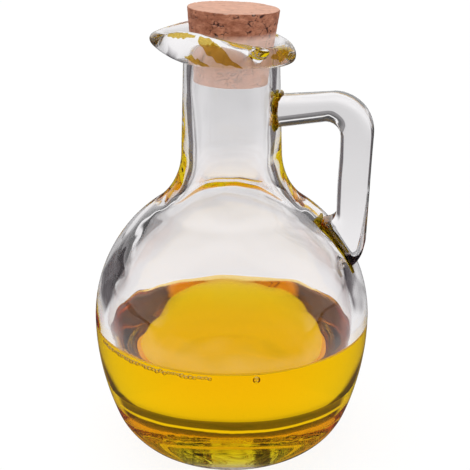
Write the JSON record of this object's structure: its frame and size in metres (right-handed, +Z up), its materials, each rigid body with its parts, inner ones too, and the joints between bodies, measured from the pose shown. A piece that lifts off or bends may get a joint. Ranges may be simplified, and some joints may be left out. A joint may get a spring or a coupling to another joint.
{
  "type": "oil and vinegar cruet",
  "caption": "Round clear glass cruet with a pouring lip and a side handle, part filled with oil and closed by a tapered cork.",
  "frame": {"origin": "centre of the flat foot that the bottle stands on", "axes": "+Z up along the neck, +X towards the handle, -X towards the spout"},
  "size_m": [0.09, 0.09, 0.1456],
  "materials": {
    "glass": "clear, smooth",
    "oil": "clear golden liquid",
    "cork": "matt pressed cork"
  },
  "bodies": {
    "root": {"glass_bottle": "glass", "oil": "oil", "cork": "cork"}
  },
  "joints": []
}
